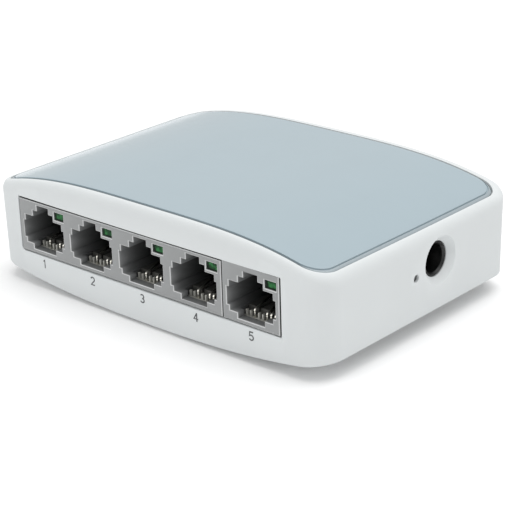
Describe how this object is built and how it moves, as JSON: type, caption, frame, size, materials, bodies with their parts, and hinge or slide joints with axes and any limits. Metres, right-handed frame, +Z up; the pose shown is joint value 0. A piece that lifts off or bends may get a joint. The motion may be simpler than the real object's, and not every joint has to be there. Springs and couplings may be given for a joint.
{
  "type": "desktop network switch",
  "caption": "Small white desktop box that links network cables, with port sockets along its front and a power socket in one end.",
  "frame": {"origin": "middle of the footprint, on the surface that the feet stand on", "axes": "+X along the ports towards the power socket's end, +Y to the back, +Z up"},
  "size_m": [0.0888, 0.0602, 0.0251],
  "materials": {
    "white_shell": "satin moulded ABS",
    "panel_blue_grey": "glossy",
    "white_cover": "fine moulded texture",
    "board_green": "solder mask",
    "jack_grey": "moulded",
    "carrier_grey": "moulded",
    "contact_gold": "gold flash on phosphor bronze",
    "led_green": "tinted epoxy",
    "tinned_metal": "tin plated",
    "socket_black": "moulded",
    "led_clear": "epoxy",
    "pipe_clear": "moulded clear",
    "chip_black": "moulded epoxy",
    "can_metal": "drawn can",
    "ferrite_grey": "sintered",
    "ceramic_tan": "fired",
    "screw_steel": "zinc plated",
    "foot_rubber": "moulded"
  },
  "bodies": {
    "case": {"housing": "white_shell", "top_panel": "panel_blue_grey", "bottom_cover": "white_cover", "circuit_board": "board_green", "jack_block_four": "jack_grey", "jack_block_single": "jack_grey", "contact_carriers": "carrier_grey", "contact_tails": "contact_gold", "port_leds": "led_green", "port_led_leads": "tinned_metal", "dc_jack_body": "socket_black", "dc_center_pin": "tinned_metal", "dc_terminals": "tinned_metal", "power_led": "led_clear", "light_pipe": "pipe_clear", "switch_chip": "chip_black", "switch_chip_leads": "tinned_metal", "magnetics_quad": "chip_black", "magnetics_single": "chip_black", "magnetics_leads": "tinned_metal", "crystal": "can_metal", "electrolytic_capacitors": "can_metal", "power_inductor": "ferrite_grey", "regulator": "chip_black", "regulator_leads": "tinned_metal", "ceramic_capacitors": "ceramic_tan", "chip_resistors": "chip_black", "board_screws": "screw_steel", "cover_screws": "screw_steel", "rubber_feet": "foot_rubber"},
    "port_1_contacts": {"contacts_1": "contact_gold"},
    "port_2_contacts": {"contacts_2": "contact_gold"},
    "port_3_contacts": {"contacts_3": "contact_gold"},
    "port_4_contacts": {"contacts_4": "contact_gold"},
    "port_5_contacts": {"contacts_5": "contact_gold"},
    "socket_spring": {"dc_spring": "tinned_metal"}
  },
  "joints": [
    {"name": "port_1_contact_flex", "type": "hinge", "parent": "case", "child": "port_1_contacts", "pos_m": [-0.02924, -0.0264, 0.00933], "axis": [-1, 0, 0], "range_deg": [0, 14], "stiffness_Nm_per_rad": 0.01},
    {"name": "port_2_contact_flex", "type": "hinge", "parent": "case", "child": "port_2_contacts", "pos_m": [-0.01527, -0.0264, 0.00933], "axis": [-1, 0, 0], "range_deg": [0, 14], "stiffness_Nm_per_rad": 0.01},
    {"name": "port_3_contact_flex", "type": "hinge", "parent": "case", "child": "port_3_contacts", "pos_m": [-0.0013, -0.0264, 0.00933], "axis": [-1, 0, 0], "range_deg": [0, 14], "stiffness_Nm_per_rad": 0.01},
    {"name": "port_4_contact_flex", "type": "hinge", "parent": "case", "child": "port_4_contacts", "pos_m": [0.01267, -0.0264, 0.00933], "axis": [-1, 0, 0], "range_deg": [0, 14], "stiffness_Nm_per_rad": 0.01},
    {"name": "port_5_contact_flex", "type": "hinge", "parent": "case", "child": "port_5_contacts", "pos_m": [0.02708, -0.0264, 0.00933], "axis": [-1, 0, 0], "range_deg": [0, 14], "stiffness_Nm_per_rad": 0.01},
    {"name": "socket_spring_flex", "type": "hinge", "parent": "case", "child": "socket_spring", "pos_m": [0.0384, 0.0053, 0.0094], "axis": [0, -1, 0], "range_deg": [0, 8], "stiffness_Nm_per_rad": 0.01}
  ]
}
